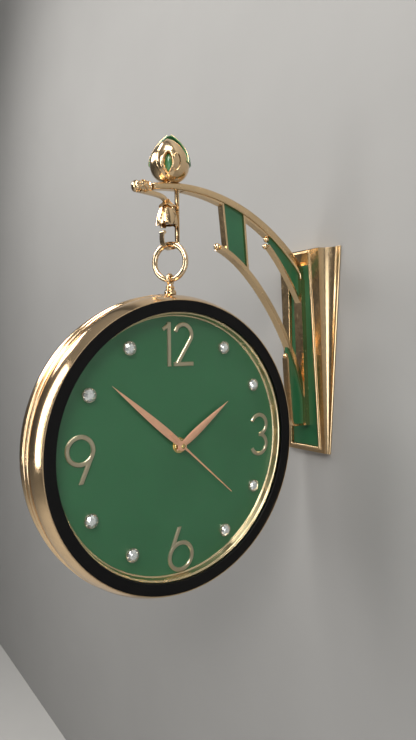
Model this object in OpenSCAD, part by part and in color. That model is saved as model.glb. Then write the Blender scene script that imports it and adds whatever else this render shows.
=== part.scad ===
// Double-sided hanging clock on a wall bracket.
// Origin: centre of the bracket foot on the wall. +Z up, the arm stands out along -Y,
// the two dials face +X and -X.

/* [Clock case] */
// Radius of the case over its centre beads
case_r = 184; // [140:1:220]
// Thickness of the case between the two black rings
case_t = 63; // [60:1:90]
// Outer radius of the black ring
black_r = 175; // [130:1:210]
// Width of the black ring
black_w = 13.6; // [8:0.2:20]
// Depth of the dial behind the black ring
dial_depth = 15; // [14.5:0.1:18]
// Thickness of the glass
glass_t = 2.2; // [1.5:0.1:3]
// Thickness of a dial sheet
dial_t = 1.2; // [0.8:0.1:2]
// Wall of the case shells
shell_t = 2.4; // [1.5:0.1:4]

/* [Dial] */
// Radius on which the crystals sit
crystal_ring_r = 137; // [110:1:145]
// Radius of a crystal
crystal_r = 6; // [3:0.1:8]
// Height of the 12 above the dial's centre, to the middle of the figure
twelve_r = 123; // [90:1:130]
// Distance of the 3, 6 and 9 from the dial's centre
figure_r = 129; // [90:1:135]
// Height of a figure
figure_h = 54; // [30:1:60]
// Stroke width of the figures
stroke = 5.4; // [3:0.1:8]
// Thickness of the figures
figure_t = 2; // [1:0.1:3]

/* [Hands] */
// Length of the minute hand
minute_l = 121; // [80:1:135]
// Length of the hour hand
hour_l = 88; // [50:1:110]
// Length of the second hand
second_l = 101; // [60:1:130]
// Minutes past the hour shown at rest
shown_minutes = 51.6; // [0:0.1:59.9]
// Hour shown at rest
shown_hour = 1; // [0:1:11]
// Seconds shown at rest
shown_seconds = 22; // [0:1:59]
// Radial clearance of a running fit
run = 0.06; // [0.02:0.01:0.1]

/* [Movement] */
// Side of the square quartz movement
mov_w = 56; // [50:1:70]
// Radius of the movement's threaded bush
bush_r = 4; // [3.5:0.1:5]
// Outer radius of the hour tube
hour_tube_r = 2.6; // [2.2:0.1:3]
// Outer radius of the minute arbor
minute_arbor_r = 1.6; // [1.3:0.1:1.8]
// Radius of the second arbor
second_arbor_r = 0.7; // [0.5:0.1:0.9]
// Radius of the cell in each movement
cell_r = 5.2; // [4:0.1:5.4]
// Length of the cell
cell_l = 44; // [40:0.5:48]

/* [Hanger] */
// Distance of the hanging axis from the wall
reach = 252; // [225:1:320]
// Drop of the clock's centre below the foot's centre
clock_drop = 111; // [60:1:140]
// Radius of the ring's centre line
ring_r = 21.5; // [18:0.5:30]
// Radius of the ring's bar
ring_bar = 3.4; // [2.5:0.1:4]
// Turn of the ring about the vertical, from square to the arm
ring_turn = 27; // [0:1:35]
// Thickness of the hook strip
hook_t = 3; // [2:0.1:5]
// Width of the hook strip
hook_w = 9; // [6:0.5:12]
// Radius of the hook's bend at the strip's centre line
hook_r = 10.3; // [9:0.1:14]
// Radius of the swivel stem
stem_r = 3; // [2:0.1:4]
// Height of the swivel collar on the case
collar_h = 4; // [2:0.5:8]
// Height of the neck between collar and eye
neck_h = 8; // [6:0.5:14]

/* [Foot] */
// Height of the foot
foot_h = 302; // [260:1:360]
// Half width of the foot's front
foot_half = 38; // [34:1:50]
// Half width at the wall, at the top
wall_half_top = 60; // [50:1:75]
// Half width at the wall, at the bottom
wall_half_bottom = 42; // [40:1:60]
// Depth of the foot at the top
foot_d_top = 24; // [20:1:40]
// Depth of the foot at the bottom
foot_d_bottom = 8.5; // [8:0.5:14]
// Half width of the green panel at the bottom
panel_half_bottom = 27; // [20:1:30]
// Half width of the green panel at the top
panel_half_top = 19; // [14:1:28]
// Depth of the green panel behind the foot's front
panel_sink = 3; // [2:0.1:4]
// Thickness of the green panels
enamel_t = 1.4; // [1:0.1:2]
// Thickness of the steel plate on the wall
plate_t = 2; // [1.5:0.1:2.5]
// Radius of the wall screw holes
wall_hole_r = 2.75; // [2:0.05:3]
// Distance between the wall screw holes, across
wall_hole_dx = 30; // [24:1:40]
// Distance between the wall screw holes, up and down
wall_hole_dz = 180; // [120:1:190]
// Radius of the screws that hold the arm
arm_screw_r = 2.5; // [2:0.1:3]

/* [Arm] */
// Width of the top bar across the arm
top_w = 14; // [10:0.5:20]
// Width of the lower bar across the arm
low_w = 12; // [8:0.5:18]
// Width of the spine across the arm
spine_w = 15; // [12:0.5:24]
// Width of the rims across the arm
rim_w = 10; // [7:0.5:12]
// Thickness of the rims
rim_t = 3; // [2:0.1:4]
// Thickness of the top bar at its outer end
top_t = 7.5; // [5:0.1:10]
// Thickness of the top bar at the foot
top_t_root = 12; // [8:0.1:16]
// Thickness of the lower bar
low_t = 6; // [4:0.1:9]
// Radius of the balls on the strips' ends
ball_r = 4; // [3.5:0.1:5]
// Radius of the finial
finial_r = 24.5; // [18:0.5:32]
// Height of the finial
finial_h = 56; // [40:1:70]
// Radius of the bell flower's mouth
bell_r = 11.3; // [8:0.1:12]
// Length of the bell flower
bell_l = 31; // [24:1:34]

/* [Hidden] */
$fn = 96;

gold = [0.86, 0.66, 0.50];
enamel = [0.10, 0.36, 0.22];
eps = 0.01;

// ---------- places shared by several pieces ----------
half_t = case_t / 2;
case_top = case_r - clock_drop;
collar_top = case_top + collar_h;
eye_z = collar_top + neck_h + 6.5;
ring_z = eye_z + ring_r;
ring_top_in = ring_z + ring_r - ring_bar;
hook_seat = ring_top_in - 0.4;
// Radius of the crown on the inside of the hook, about the line the ring swings on
hook_crown = 6;
hook_c = hook_seat - hook_t / 2 + hook_r;
dial_z = half_t - dial_depth;
black_in = black_r - black_w;
glass_top = half_t - 2.7;
glass_bottom = glass_top - glass_t;
glass_r = black_in + 4.6;
band_half = 12;
minute_deg = 6 * shown_minutes;
hour_deg = 30 * shown_hour + shown_minutes / 2;
second_deg = 6 * shown_seconds;
mov_back = 3.4;
mov_front = dial_z - dial_t;
bush_top = dial_z + 4.6;
hour_z = dial_z + 5.3;
minute_z = hour_z + 1.9;
second_z = minute_z + 1.5;
tilt = atan((foot_d_top - foot_d_bottom) / foot_h);
foot_mid = (foot_d_top + foot_d_bottom) / 2;
web_t = 2.2;

// Depth of the foot's front at height z
function foot_d(z) = foot_mid + z * tan(tilt);
// Depth of the green panel's face at height z
function panel_d(z) = foot_d(z) - panel_sink;

// ---------- frames ----------
// Draws a profile of (out from the wall as -Y, up) and gives it a width across the arm
module across(w) rotate([90, 0, 90]) linear_extrude(w, center = true) children();
// Local x to 3 o'clock, y up, z out of the dial
module dial_frame(side) translate([0, -reach, -clock_drop]) rotate([0, 0, 180 * side])
    rotate([90, 0, 90]) children();
// Local X across, Z up the sloping front of the foot, -Y out of it
module foot_front() translate([0, -foot_mid, 0]) rotate([tilt, 0, 0]) children();

// ---------- curves ----------
function bez(p, t) = pow(1 - t, 3) * p[0] + 3 * t * pow(1 - t, 2) * p[1]
    + 3 * t * t * (1 - t) * p[2] + pow(t, 3) * p[3];
function bez_dir(p, t) = let (d = 3 * pow(1 - t, 2) * (p[1] - p[0])
    + 6 * t * (1 - t) * (p[2] - p[1]) + 3 * t * t * (p[3] - p[2])) d / norm(d);
function left_of(d) = [-d[1], d[0]];
// Outline of a strip on a curve: upper side on the curve, thickness t0 to t1 below it
function strip(p, t0, t1, n = 28, root = []) = concat(
    [for (i = [0:n]) bez(p, i / n)], root,
    [for (i = [n:-1:0]) bez(p, i / n) - (t0 + (t1 - t0) * i / n) * left_of(bez_dir(p, i / n))]);
function arc(c, r, a0, a1, n = 16) = [for (i = [0:n]) let (a = a0 + (a1 - a0) * i / n)
    c + r * [cos(a), sin(a)]];
// Strip of even thickness along a list of points, mitred at each point
function turn(p, i) = let (a = i == 0 ? p[1] - p[0] : p[i] - p[i - 1],
    b = i == len(p) - 1 ? a : p[i + 1] - p[i], s = a / norm(a) + b / norm(b))
    s / norm(s) / sqrt((1 + (a / norm(a)) * (b / norm(b))) / 2);
function ribbon(p, t) = concat([for (i = [0:len(p) - 1]) p[i] + t / 2 * left_of(turn(p, i))],
    [for (i = [len(p) - 1:-1:0]) p[i] - t / 2 * left_of(turn(p, i))]);

// ---------- arm layout, as (Y, Z) ----------
root_y = -panel_d(122) - 0.2;
top_curve = [[-reach - 27, 203], [-reach + 42, 220], [-110, 212], [root_y, 124]];
low_curve = [[-reach + 77, 141], [-reach + 137, 122], [-47, 34], [-panel_d(-46) - 8.6, -46]];
inner_curve = [[-88, 152], [-70, 136], [-48, 112], [-panel_d(76) - 8.6, 79]];
spine_top = 107;
spine_bottom = -110;
spine_t = 8.4;

// ---------- foot ----------
// Wedge with flared flanks: a flat lip on the wall, the narrower sloping front before it
module foot_block() hull() {
    rotate([90, 0, 0]) linear_extrude(1.5) polygon([[-wall_half_bottom, -foot_h / 2],
        [wall_half_bottom, -foot_h / 2], [wall_half_top, foot_h / 2], [-wall_half_top, foot_h / 2]]);
    foot_front() translate([-foot_half, 0, 1 - foot_h / 2]) cube([2 * foot_half, 0.5, foot_h - 3]);
}
panel_z0 = -foot_h / 2 + 10;
panel_z1 = foot_h / 2 - 7;
// Outline of the recess, grown by g all round
module recess(g) polygon([[-panel_half_bottom - g, panel_z0 - g], [panel_half_bottom + g, panel_z0 - g],
    [panel_half_top + g, panel_z1 + g], [-panel_half_top - g, panel_z1 + g]]);
// Slab of the recess outline from depth d0 to d1 behind the foot's front
module recess_slab(g, d0, d1) foot_front() translate([0, d1, 0]) rotate([90, 0, 0])
    linear_extrude(d1 - d0) recess(g);
arm_screw_z = [88, 4, -84];
module arm_screw_holes(r) foot_front() for (z = arm_screw_z)
    translate([0, 30, z]) rotate([90, 0, 0]) cylinder(h = 60, r = r);
module foot_casting() color(gold) difference() {
    foot_block();
    recess_slab(4, -1, 1.2);
    recess_slab(0, 1, panel_sink + enamel_t);
    foot_front() translate([-34, panel_sink + enamel_t + web_t, -foot_h / 2 + 26])
        cube([68, 60, foot_h - 38]);
    arm_screw_holes(arm_screw_r + 0.2);
    for (s = [-1, 1]) translate([s * 20, -7.5, foot_h / 2 - 16]) cylinder(h = 20, r = 2.2);
    for (s = [-1, 1]) translate([s * 20, -7.5, foot_h / 2 - 3]) cylinder(h = 10, r = 3.9);
}
module foot_moulding() color(gold) difference() {
    union() {
        recess_slab(4, -0.8, 1.2);
        recess_slab(2, -2, -0.7);
    }
    recess_slab(0, -10, 10);
}
module foot_panel() color(enamel) difference() {
    recess_slab(0, panel_sink, panel_sink + enamel_t);
    arm_screw_holes(arm_screw_r + 0.2);
}
module foot_cove() color(gold) difference() {
    intersection() {
        recess_slab(0, 0, panel_sink);
        across(100) polygon([[-foot_d(panel_z1), panel_z1], [-panel_d(panel_z1) + 9, panel_z1 + 9],
            [-panel_d(128) + 9, 128], [-panel_d(128), 128]]);
    }
    bar_solid();
}
module wall_plate() color("silver") difference() {
    union() {
        translate([-26, -plate_t, -116]) cube([52, plate_t, 246]);
        translate([-26, -12, 130 - plate_t]) cube([52, 12, plate_t]);
    }
    for (x = [-1, 1], z = [-1, 1]) translate([x * wall_hole_dx / 2, 0, z * wall_hole_dz / 2])
        rotate([90, 0, 0]) cylinder(h = 20, r = wall_hole_r, center = true);
    for (s = [-1, 1]) translate([s * 20, -7.5, 120]) cylinder(h = 20, r = 2.05);
}
module lock_screws() color("silver") for (s = [-1, 1]) translate([s * 20, -7.5, 0]) {
    translate([0, 0, 124]) cylinder(h = foot_h / 2 - 3 - 124, r = 2);
    translate([0, 0, foot_h / 2 - 3]) difference() {
        cylinder(h = 2.4, r = 3.6);
        translate([0, 0, 1]) cylinder(h = 3, r = 1.4, $fn = 6);
    }
}
module arm_screws() color("silver") foot_front() for (z = arm_screw_z) {
    translate([0, panel_sink + enamel_t + web_t, z]) rotate([90, 0, 0])
        cylinder(h = panel_sink + enamel_t + web_t + 1.6, r = arm_screw_r);
    translate([0, panel_sink + enamel_t + web_t + 2, z]) rotate([90, 0, 0]) difference() {
        cylinder(h = 2, r = arm_screw_r + 2);
        translate([0, 0, -1]) cylinder(h = 2, r = 1.7, $fn = 6);
    }
}

// ---------- arm ----------
function spine_y(z) = -panel_d(z);
module bar_solid() across(top_w) polygon(concat(strip(top_curve, top_t, top_t_root, root = [
    [spine_y(spine_top) - 0.02, spine_top], [spine_y(spine_top) - spine_t, spine_top]])));
module low_solid() across(low_w) polygon(strip(low_curve, low_t, low_t, root = [
    [spine_y(-46) - spine_t, -46], [spine_y(-68) - spine_t, -68]]));
module inner_solid() across(rim_w) polygon(strip(inner_curve, rim_t, rim_t, root = [
    [spine_y(79) - spine_t, 79], [spine_y(73) - spine_t, 73]]));
module spine_solid() across(spine_w) polygon([
    [spine_y(spine_top), spine_top], [spine_y(spine_top) - spine_t, spine_top],
    [spine_y(spine_bottom) - spine_t, spine_bottom], [spine_y(spine_bottom), spine_bottom]]);
// Place under the top bar, s along it and d below its underside
function under_point(s, d) = bez(top_curve, s)
    - (top_t + (top_t_root - top_t) * s + d) * left_of(bez_dir(top_curve, s));
// Balls at the free ends: lower bar, turned end of the slat's rim, inner bar, fin rim
balls = [[low_curve[0][0] - 3, low_curve[0][1] - 1.6], under_point(0.775, ball_r + 0.05),
    [-91.5, 149], [-51.5, -5.5]];
module ball(i) translate([0, balls[i][0], balls[i][1]]) sphere(ball_r + (i == 0 ? 0.6 : 0));
module all_balls() for (i = [0:len(balls) - 1]) ball(i);
module top_bar() color(gold) bar_solid();
module lower_bar() color(gold) difference() {
    low_solid();
    spine_solid();
    ball(0);
}
module inner_bar() color(gold) difference() {
    inner_solid();
    spine_solid();
    ball(2);
}
module arm_spine() color(gold) difference() {
    spine_solid();
    foot_front() for (z = arm_screw_z)
        translate([0, 10, z]) rotate([90, 0, 0]) cylinder(h = 12.4, r = arm_screw_r + 0.05);
}
module rim_balls() color(gold) all_balls();
// Strip under the top bar from a to b along it, thickness d0 to d1
function under(a, b, d0, d1, n = 12) = concat(
    [for (i = [0:n]) under_point(a + (b - a) * i / n, 0)],
    [for (i = [n:-1:0]) under_point(a + (b - a) * i / n, d0 + (d1 - d0) * i / n)]);
rim_a = [[-172, 204], [-170.5, 190], [-163, 128]];
rim_b = [[-136, 196], [-134, 180], [-127, 100]];
module slat_rims() color(gold) difference() {
    union() {
        across(rim_w) polygon(ribbon(rim_a, rim_t));
        across(rim_w) polygon(under(0.2, 0.45, 0.6, rim_t));
        across(rim_w) polygon(ribbon(rim_b, rim_t));
        across(rim_w) polygon(under(0.6, 0.765, rim_t, rim_t));
    }
    bar_solid();
    below_low();
    all_balls();
}
// Everything from the lower bar downwards, to trim what stands on it
module below_low() across(40) polygon(concat([for (i = [0:28]) bez(low_curve, i / 28)],
    [[0, -200], [-260, -200], [-260, low_curve[0][1]]]));
module above_top() across(40) polygon(concat([for (i = [28:-1:0]) under_point(i / 28, 0)],
    [[-300, 320], [20, 320], [20, 100]]));
panel_w = 4.6;
module slat_panel() color(enamel) difference() {
    across(panel_w) polygon(concat([for (p = rim_a) p + [rim_t / 2 + 0.4, 0]],
        [for (i = [2:-1:0]) rim_b[i] - [rim_t / 2 + 0.4, 0]]));
    above_top();
    below_low();
}
module triangle_panel() color(enamel) difference() {
    across(panel_w) polygon(concat([for (i = [0:28]) bez(inner_curve, i / 28)],
        [[spine_y(80) - spine_t + 1, 80], [-24, 114], [-85, 170]]));
    inner_solid();
    spine_solid();
    bar_solid();
    above_top();
    all_balls();
}
fin_path = [[-51.5, -8], [-49, -40], [-46.2, -66], [-42.6, -98], [-41.5, -103], [-39, -107],
    [-34.5, -108.5], [spine_y(spine_bottom) - spine_t + 1, -108.5]];
module fin_rim() color(gold) difference() {
    across(rim_w) polygon(ribbon(fin_path, rim_t));
    spine_solid();
    low_solid();
    all_balls();
}
module fin_panel() color(enamel) difference() {
    across(panel_w) polygon(concat(fin_path,
        [[spine_y(-30) - spine_t + 1, -30], [-47, 40]]));
    across(rim_w) polygon(ribbon(fin_path, rim_t));
    spine_solid();
    low_solid();
    all_balls();
    above_low();
}
// Everything above the lower bar's underside
module above_low() across(40) polygon(concat([for (i = [28:-1:0]) let (s = i / 28)
    bez(low_curve, s) - low_t * left_of(bez_dir(low_curve, s))], [[-260, 200], [20, 200], [20, low_curve[3][1]]]));

// ---------- arm's outer end ----------
tip = top_curve[0] - [0, top_t / 2];
module tip_bud() color(gold) translate([0, tip[0] + 0.6, tip[1]]) rotate([90 + 8, 0, 0]) rotate_extrude()
    polygon(concat([[0, 0.4], [5.6, 0.4], [5.6, 2.4], [4.4, 3.2]],
        [for (i = [0:10]) [4.4 + 1.5 * sin(18 * i), 3.6 + 0.7 * i]], [[4.2, 11]],
        arc([0, 18], 7, -52, 90, 14)));
finial_z = 208.6;
finial_wall = 2.4;
function drop_r(t) = finial_r * pow(sin(180 * t), 0.8) * (1 + 0.2 * cos(180 * t));
function drop_z(t) = finial_h * (1 - cos(180 * t)) / 2;
function drop(d, a, b, n) = [for (i = [0:n]) let (t = a + (b - a) * i / n)
    [max(drop_r(t) - d, 0), drop_z(t) + (t > 0.5 ? -d * (t - 0.5) * 2 : d * (0.5 - t) * 2)]];
module finial_at() translate([0, -reach + 1, finial_z]) rotate([0, 0, -42]) children();
module finial_shell() color(gold) finial_at() difference() {
    rotate_extrude() polygon(concat(drop(0, 0.07, 1, 22), drop(finial_wall, 1, 0.12, 20)));
    // almond slit in the side
    rotate([90, 0, 90]) linear_extrude(finial_r * 2) intersection_for(s = [-1, 1])
        translate([s * 12.5, finial_h * 0.46]) circle(r = 17);
    translate([0, 0, -1]) cylinder(h = 4, r = 6.2);
}
module finial_petal() color(enamel) finial_at() rotate([0, 0, 75])
    rotate_extrude(angle = 210) polygon(concat(drop(-1.7, 0.42, 0.95, 14), drop(-0.1, 0.95, 0.42, 14)));
module finial_stud() color(gold) difference() {
    translate([0, -reach + 1, finial_z]) {
        translate([0, 0, -1.5]) cylinder(h = 4.6, r = 6);
        translate([0, 0, 3]) cylinder(h = 22, r = 4);
        translate([0, 0, 25]) sphere(6.5);
    }
    bar_solid();
}
stem_curve = [[-298, 196.5], [-284, 193], [-259, 197], [-reach - 4, 187]];
module flower_stem() color(gold) difference() {
    across(6) polygon(strip(stem_curve, 5, 4, 20));
    bar_solid();
    tip_bud();
    bell_solid();
}
bell_top = 187;
function bell_out(t) = 3 + (bell_r - 3) * pow(sin(90 * t), 0.8);
module bell_solid() translate([0, -reach - 3, bell_top - bell_l]) rotate_extrude() polygon(concat(
    [[0, bell_l], [3, bell_l]], [for (i = [1:14]) [bell_out(i / 14), bell_l * (1 - i / 14)]], [[0, 0]]));
module flower_bell() color(gold) difference() {
    bell_solid();
    translate([0, -reach - 3, bell_top - bell_l - 0.01]) rotate_extrude() polygon(concat(
        [for (i = [4:14]) [bell_out(i / 14) - 1.6, (bell_l - 3) * (1 - i / 14)]], [[0, 0], [0, bell_l * 0.65]]));
}
hook_in = hook_r - hook_t / 2;
// Section of the hook as (distance from the bend's centre, across the arm)
module hook_section(w) polygon(concat([[hook_r + hook_t / 2, w / 2], [hook_r + hook_t / 2, -w / 2]],
    arc([hook_in + hook_crown, 0], hook_crown, 180 + asin(w / 2 / hook_crown),
        180 - asin(w / 2 / hook_crown), 12)));
module hook_run(w, h) linear_extrude(h) hook_section(w);
module hook() color(gold) difference() {
    translate([0, -reach, hook_c]) union() {
        rotate([0, 0, 90]) hook_run(hook_w, 66);
        rotate([90, 0, 90]) rotate([0, 0, 180]) rotate_extrude(angle = 180) hook_section(hook_w);
        rotate([0, 0, -90]) hook_run(hook_w, 5);
        translate([0, -hook_in - 1.1, 8.2]) rotate([0, 90, 0]) cylinder(h = hook_w, r = 2.1, center = true);
        translate([-hook_w / 2, -hook_r - hook_t / 2, 5]) cube([hook_w, 2, 3.6]);
    }
    bar_solid();
}

// ---------- hanger ----------
eye_bar = 2.1;
eye_r = ring_bar + 0.35 + eye_bar;
module at_axis(z) translate([0, -reach, z]) children();
module hanging_ring() color(gold) at_axis(ring_z) rotate([90, 0, ring_turn])
    rotate_extrude($fn = 128) translate([ring_r, 0]) circle(r = ring_bar, $fn = 48);
neck_z0 = collar_top + 0.3;
module swivel_eye() color(gold) {
    at_axis(eye_z) rotate([0, 90, ring_turn]) rotate_extrude()
        translate([eye_r, 0]) circle(r = eye_bar, $fn = 40);
    at_axis(0) rotate_extrude() polygon([[0, strap_z - 12], [stem_r, strap_z - 12], [stem_r, neck_z0],
        [6.4, neck_z0], [6.6, neck_z0 + 0.8], [5.2, neck_z0 + 2], [4.6, neck_z0 + 3], [5.6, neck_z0 + 4.2],
        [5.6, neck_z0 + 5.2], [4.3, neck_z0 + 6.4], [3.6, eye_z - eye_r + 1], [0, eye_z - eye_r + 1]]);
}
module swivel_collar() color(gold) at_axis(0) difference() {
    union() {
        translate([0, 0, case_top + 0.02]) cylinder(h = collar_h - 0.02, r = 7.5);
        translate([0, 0, case_top - shell_t - 4]) cylinder(h = shell_t + 4.5, r = stem_r + 1.35);
    }
    cylinder(h = 200, r = stem_r + run);
}
band_in = case_r - shell_t - 1.4;
// Band of the case with its two beads
module band_ring() in_case() rotate([0, 90, 0]) rotate_extrude($fn = 180) polygon(concat(
    [[band_in, -band_half], [case_r - 1.6, -band_half]],
    [for (s = [-1, 1]) for (p = arc([case_r - 2, s * 5.5], 2, -78.46, 78.46, 8)) p],
    [[case_r - 1.6, band_half], [band_in, band_half]]));
strap_z = case_top - 20;
module hanger_strap() color("silver") at_axis(0) difference() {
    union() {
        translate([-8, -30, strap_z]) cube([16, 60, 3]);
        for (s = [-1, 1]) translate([-8, s * 30 - 1.5, strap_z])
            cube([16, 3, sqrt(pow(band_in, 2) - 31.6 * 31.6) - clock_drop - strap_z]);
    }
    translate([0, 0, strap_z - 1]) cylinder(h = 6, r = stem_r + 0.3);
}
module swivel_nut() color("silver") at_axis(strap_z - 0.3) difference() {
    union() {
        translate([0, 0, -1.2]) cylinder(h = 1.2, r = 7);
        translate([0, 0, -6.2]) cylinder(h = 5, r = 5.6, $fn = 6);
    }
    translate([0, 0, -10]) cylinder(h = 12, r = stem_r + 0.02);
}

// ---------- case ----------
module in_case() translate([0, -reach, -clock_drop]) children();
module case_band() color(gold) difference() {
    band_ring();
    at_axis(0) cylinder(h = 200, r = stem_r + 1.4);
}
bezel_front_r = black_r + 1.2;
// Outer side of the bezel, t from the band to the black ring
function bezel_out(t) = [case_r - 1.4 - (case_r - 1.4 - bezel_front_r) * pow(t, 1.6),
    band_half + 3 + (half_t - band_half - 2.2) * t];
module bezel() rotate_extrude($fn = 180) polygon(concat(
    [[case_r - 6.4, band_half - 4], [band_in - 0.2, band_half - 4], [band_in - 0.2, band_half + 0.05],
        [case_r - 2.6, band_half + 0.05], [case_r - 2.6, band_half + 1.2], [case_r - 1.4, band_half + 2]],
    [for (i = [0:12]) bezel_out(i / 12)],
    [[black_r + 0.1, half_t + 0.8], [black_r + 0.1, half_t - 2.6], [glass_r + 1, half_t - 2.6],
        [glass_r + 1, half_t - 3.6], [black_r - 1.5, half_t - 3.6]],
    [for (i = [9:-1:2]) bezel_out(i / 12) - [shell_t + 0.2, 1.4]],
    [[case_r - 6.4, band_half + 2.5]]));
module bezel_front() color(gold) dial_frame(0) bezel();
module bezel_rear() color(gold) dial_frame(1) bezel();
module black_ring() rotate_extrude($fn = 180) polygon([[black_in, glass_top + 0.1], [black_r, glass_top + 0.1],
    [black_r, half_t - 0.3], [black_r - 0.3, half_t], [black_in + 0.5, half_t], [black_in, half_t - 0.5]]);
module black_ring_front() color([0.05, 0.05, 0.05]) dial_frame(0) black_ring();
module black_ring_rear() color([0.05, 0.05, 0.05]) dial_frame(1) black_ring();
module glass() rotate_extrude($fn = 180) polygon([[0, glass_bottom], [glass_r, glass_bottom],
    [glass_r, glass_top], [0, glass_top]]);
module glass_front() color([0.8, 0.9, 0.9, 0.3]) dial_frame(0) glass();
module glass_rear() color([0.8, 0.9, 0.9, 0.3]) dial_frame(1) glass();
// Bevelled ring from the dial up to the glass
module rehaut() rotate_extrude($fn = 180) polygon([[black_in - 4, dial_z], [glass_r, dial_z],
    [glass_r, dial_z + 1.2], [black_in - 2.2, dial_z + 1.2], [black_in - 0.9, dial_z + 5.5],
    [black_in + 0.9, dial_z + 6.6], [black_in + 0.9, glass_bottom], [black_in - 1.2, glass_bottom],
    [black_in - 1.2, glass_bottom - 2.4], [black_in - 2.6, glass_bottom - 3]]);
module rehaut_front() color(gold) dial_frame(0) rehaut();
module rehaut_rear() color(gold) dial_frame(1) rehaut();
module dial() difference() {
    translate([0, 0, dial_z - dial_t]) cylinder(h = dial_t, r = glass_r + 2, $fn = 180);
    translate([0, 0, dial_z - 5]) cylinder(h = 10, r = bush_r + 0.2);
}
module dial_front() color(enamel) dial_frame(0) dial();
module dial_rear() color(enamel) dial_frame(1) dial();

// ---------- figures, with a slim even stroke ----------
module stroke_on(p) polygon(ribbon(p, stroke));
module one(h) {
    translate([-stroke / 2, -h / 2]) square([stroke, h]);
    polygon([[-stroke / 2, h / 2], [-8.5, h / 2 - 6], [-8.5, h / 2 - 11.5], [-stroke / 2, h / 2 - 7]]);
}
module two(h, w) stroke_on(concat(arc([0, h / 2 - w / 2], (w - stroke) / 2, 165, -32, 20),
    [[-w / 2 + stroke, (stroke - h) / 2], [w / 2, (stroke - h) / 2]]));
module three(h) let (r = (h - stroke) / 4) {
    stroke_on(arc([0, r], r, 158, -90, 24));
    stroke_on(arc([0, -r], r, 90, -158, 24));
}
module six(h, w) let (c = (w - h) / 2, lean = 24) {
    translate([0, c]) difference() {
        circle(r = w / 2);
        circle(r = w / 2 - stroke);
    }
    difference() {
        translate([0, c]) rotate(-lean) translate([0.15 - w / 2, -1.2]) square([stroke, h]);
        translate([-50, h / 2]) square(100);
    }
}
module figures() translate([0, 0, dial_z]) linear_extrude(figure_t) {
    translate([-14, twelve_r]) one(figure_h * 0.98);
    translate([7, twelve_r]) two(figure_h * 0.98, 29);
    translate([figure_r + 2, 0]) three(figure_h * 1.08);
    translate([0, -figure_r + 1]) six(figure_h * 1.03, 38);
    translate([-figure_r, 0]) rotate(180) six(figure_h * 0.98, 35);
}
module figures_front() color(gold) dial_frame(0) figures();
module figures_rear() color(gold) dial_frame(1) figures();

// ---------- crystals ----------
crystal_z = dial_z + 3;
module each_crystal() for (side = [0, 1]) dial_frame(side) for (i = [0:11]) if (i % 3 != 0)
    rotate([0, 0, 30 * i]) translate([0, crystal_ring_r, crystal_z]) children();
module crystal() {
    translate([0, 0, -2.4]) cylinder(h = 2.4, r1 = crystal_r * 0.4, r2 = crystal_r, $fn = 8);
    cylinder(h = 0.5, r = crystal_r, $fn = 8);
    translate([0, 0, 0.5]) cylinder(h = 2, r1 = crystal_r, r2 = crystal_r * 0.6, $fn = 8);
}
module crystals() color([0.9, 0.95, 1]) each_crystal() crystal();
module crystal_claws() color(gold) each_crystal() difference() {
    union() {
        translate([0, 0, dial_z - crystal_z]) cylinder(h = 2.4, r1 = crystal_r - 1, r2 = crystal_r + 1);
        for (a = [0:3]) rotate([0, 0, 45 + 90 * a]) translate([crystal_r + 0.3, 0, dial_z - crystal_z + 1])
            cylinder(h = 3.4, r = 0.9, $fn = 24);
    }
    crystal();
    translate([0, 0, -2.41]) cylinder(h = 10, r1 = crystal_r * 0.4, r2 = crystal_r * 0.4 + 10 * 1.25 * crystal_r / 5);
}

// ---------- movements ----------
cell_y = -17;
cell_zc = (mov_front + mov_back) / 2;
tube_foot = mov_back + 5.6;
module movement() difference() {
    union() {
        translate([-mov_w / 2, -mov_w / 2, mov_back]) cube([mov_w, mov_w, mov_front - mov_back]);
        cylinder(h = bush_top, r = bush_r);
        translate([0, 0, mov_back]) cylinder(h = mov_front - mov_back, r = 12);
    }
    translate([0, 0, tube_foot - 0.3]) cylinder(h = 40, r = hour_tube_r + run);
    translate([0, 0, -1]) cylinder(h = 40, r = minute_arbor_r + run);
    translate([0, 0, -1]) cylinder(h = mov_back + 1, r = 30);
    translate([-cell_l / 2 - 1, cell_y, cell_zc]) rotate([0, 90, 0]) cylinder(h = cell_l + 2, r = cell_r + 0.3);
    translate([-cell_l / 2 - 1, cell_y - cell_r - 0.3, mov_back - 1]) cube([cell_l + 2, 2 * cell_r + 0.6,
        cell_zc - mov_back + 1]);
}
module movement_front() color([0.12, 0.12, 0.13]) dial_frame(0) movement();
module movement_rear() color([0.12, 0.12, 0.13]) dial_frame(1) movement();
module movement_nuts() color("gold") for (side = [0, 1]) dial_frame(side) difference() {
    translate([0, 0, dial_z]) cylinder(h = 2.2, r = bush_r + 2.6, $fn = 6);
    cylinder(h = 40, r = bush_r + 0.01);
}
module cells() color([0.3, 0.3, 0.32]) for (side = [0, 1]) dial_frame(side)
    translate([-cell_l / 2, cell_y, cell_zc]) rotate([0, 90, 0]) {
        cylinder(h = cell_l - 1.2, r = cell_r);
        cylinder(h = cell_l, r = 1.9);
    }

// ---------- hands ----------
hand_t = 0.9;
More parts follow.
